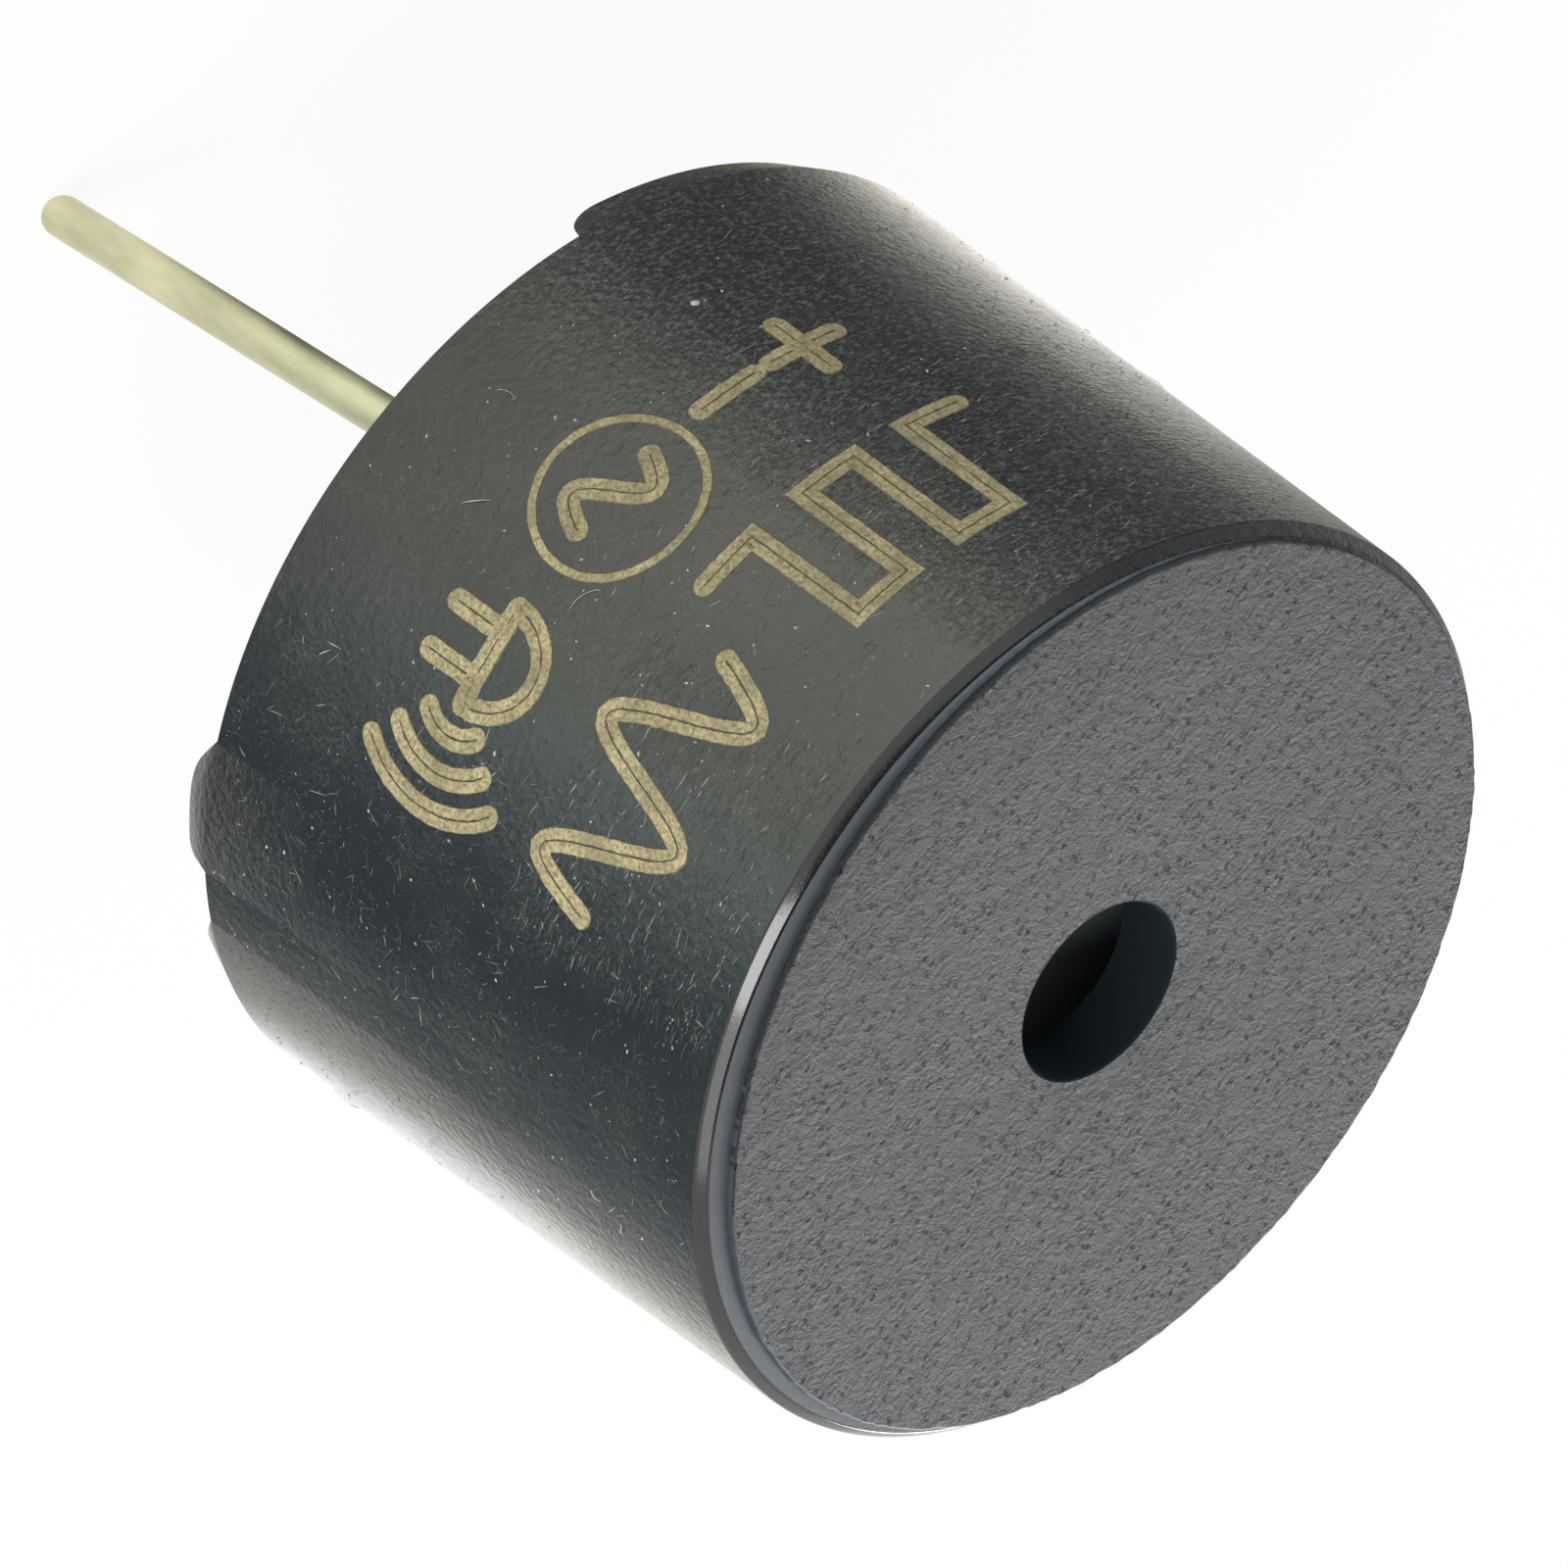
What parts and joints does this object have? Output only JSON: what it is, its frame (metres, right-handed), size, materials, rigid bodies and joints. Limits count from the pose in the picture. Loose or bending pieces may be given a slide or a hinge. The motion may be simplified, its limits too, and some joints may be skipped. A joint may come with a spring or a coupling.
{
  "type": "magnetic buzzer",
  "caption": "Round black board-mount buzzer with a central sound port, standoff feet and two downward pins, one longer than the other.",
  "frame": {"origin": "centre of the seating plane under the feet, midway between the two pins", "axes": "+Z out of the sounding face, -Z along the pins, +X from the negative pin to the positive pin"},
  "size_m": [0.0124, 0.0124, 0.016],
  "materials": {
    "case_plastic": "black moulded plastic, satin wall and spark-eroded face",
    "ring_plastic": "black moulded plastic",
    "potting": "black epoxy potting",
    "spring_steel": "rolled foil",
    "soft_iron": "turned and plated",
    "ferrite": "pressed ferrite",
    "enamelled_copper": "enamelled winding wire",
    "board_laminate": "bare epoxy laminate",
    "tinned_copper": "tin-plated wire and lands",
    "chip_plastic": "moulded chip body",
    "solder": "solder"
  },
  "bodies": {
    "root": {"housing": "case_plastic", "diaphragm": "spring_steel", "armature_disc": "soft_iron", "support_ring": "ring_plastic", "magnet_ring": "ferrite", "yoke_plate": "soft_iron", "pole_core": "soft_iron", "drive_coil": "enamelled_copper", "feedback_coil": "enamelled_copper", "coil_leads": "enamelled_copper", "circuit_board": "board_laminate", "board_tracks": "tinned_copper", "transistor_body": "chip_plastic", "transistor_leads": "tinned_copper", "resistor_body": "chip_plastic", "resistor_caps": "tinned_copper", "positive_pin": "tinned_copper", "negative_pin": "tinned_copper", "solder_joints": "solder", "potting": "potting"}
  },
  "joints": []
}
